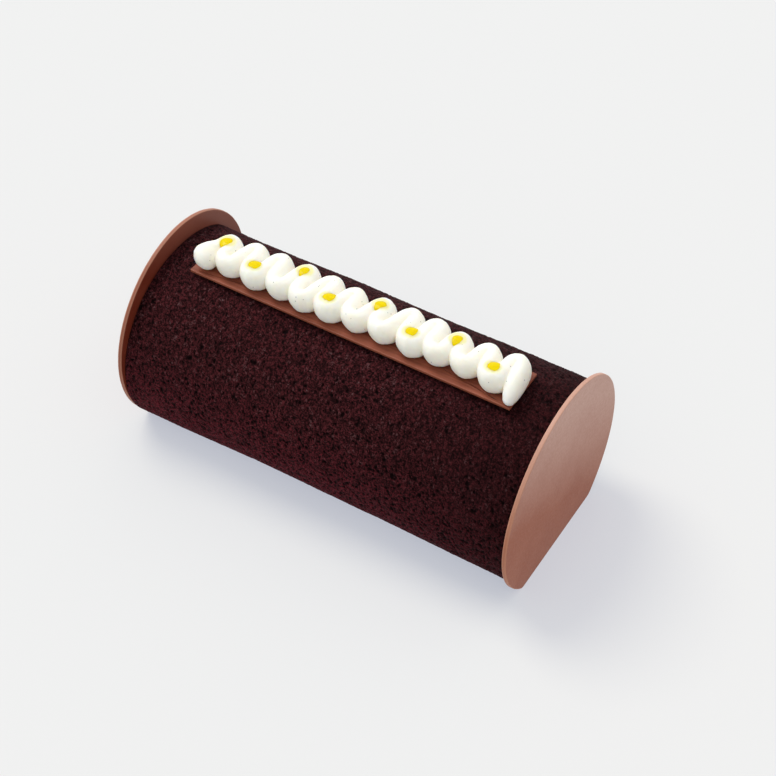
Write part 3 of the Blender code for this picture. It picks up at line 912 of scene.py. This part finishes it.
def build_pieces():
    sponge, bar = sponge_material(), bar_material()
    # the left disc: inner face a copy with painted shade, outer face a lit copy
    left = disc_material("chocolate_left", FACE_SHADED, FACE_LIT)
    right = disc_material("chocolate_right", FACE_RIGHT_PAINTED_REFLECTION, FACE_RIGHT_PAINTED_REFLECTION)
    cream, gel = cream_material(), gel_material()
    front = build_log_half("log_front", LOG_CELL_FRONT, -1, sponge)
    back = build_log_half("log_back", LOG_CELL_BACK, 1, sponge)
    stand_for(front, "log_body")
    stand_for(back, "log_body")
    disc = build_disc("end_disc_left", -1, LEFT_Y, LEFT_Z, LEFT_YAW, 41, left)
    stand_for(disc, "disc_left")
    disc = build_disc("end_disc_right", 1, RIGHT_Y, RIGHT_Z, RIGHT_YAW, 51, right)
    stand_for(disc, "disc_right")
    stand_for(build_bar(bar), "chocolate_bar")
    spots = dot_spots()
    stand_for(build_cream(spots, cream), "cream_wave")
    for i, (x, y) in enumerate(spots):
        dot = build_dot(f"gel_dot_{i + 1}", x, y, CREAM_Z + DOT_Z, 60 + i, gel)
        stand_for(dot, "cream_wave")


def build_floor():
    mesh = bpy.data.meshes.new("floor")
    r = FLOOR_HALF
    mesh.from_pydata([(-r, -r, 0), (r, -r, 0), (r, r, 0), (-r, r, 0)], [], [(0, 1, 2, 3)])
    mesh.materials.append(floor_material())
    floor = bpy.data.objects.new("floor", mesh)
    floor.location.z = -FLOOR_DROP
    bpy.context.scene.collection.objects.link(floor)


def build_camera():
    a, e = VIEW_AZIMUTH, VIEW_ELEVATION
    back = Vector((math.sin(a) * math.cos(e), -math.cos(a) * math.cos(e), math.sin(e)))
    data = bpy.data.cameras.new("camera")
    data.sensor_width = SENSOR
    data.lens = FOCAL_PX * SENSOR / FRAME_PX
    data.clip_start = 0.01
    camera = bpy.data.objects.new("camera", data)
    camera.location = VIEW_AIM + back * VIEW_DISTANCE
    camera.rotation_euler = (-back).to_track_quat("-Z", "Y").to_euler()
    bpy.context.scene.collection.objects.link(camera)
    bpy.context.scene.camera = camera


def sun(name, towards, strength, spread):
    data = bpy.data.lights.new(name, "SUN")
    data.energy = strength
    data.angle = math.radians(spread)
    data.color = SUN_COLOUR
    obj = bpy.data.objects.new(name, data)
    obj.rotation_euler = Vector(towards).to_track_quat("Z", "Y").to_euler()
    bpy.context.scene.collection.objects.link(obj)


def build_light():
    """Two soft suns, and a pale studio that is brightest behind and above the left end."""
    sun("key", KEY_TOWARDS, KEY_STRENGTH, KEY_SPREAD)
    sun("fill", FILL_TOWARDS, FILL_STRENGTH, FILL_SPREAD)
    world = bpy.data.worlds.new("studio")
    world.use_nodes = True
    tree = world.node_tree
    background = tree.nodes["Background"]
    coords = tree.nodes.new("ShaderNodeTexCoord").outputs["Generated"]
    dot = tree.nodes.new("ShaderNodeVectorMath")
    dot.operation = "DOT_PRODUCT"
    tree.links.new(coords, dot.inputs[0])
    dot.inputs[1].default_value = Vector(SKY_TOWARDS).normalized()
    ramp = tree.nodes.new("ShaderNodeMapRange")
    tree.links.new(dot.outputs["Value"], ramp.inputs["Value"])
    ramp.inputs["From Min"].default_value, ramp.inputs["From Max"].default_value = SKY_RANGE
    ramp.inputs["To Min"].default_value, ramp.inputs["To Max"].default_value = SKY_STRENGTH
    tree.links.new(ramp.outputs["Result"], background.inputs["Strength"])
    background.inputs["Color"].default_value = SKY_COLOUR
    bpy.context.scene.world = world
    bpy.context.scene.view_settings.view_transform = "Standard"


build_pieces()
build_floor()
build_camera()
build_light()
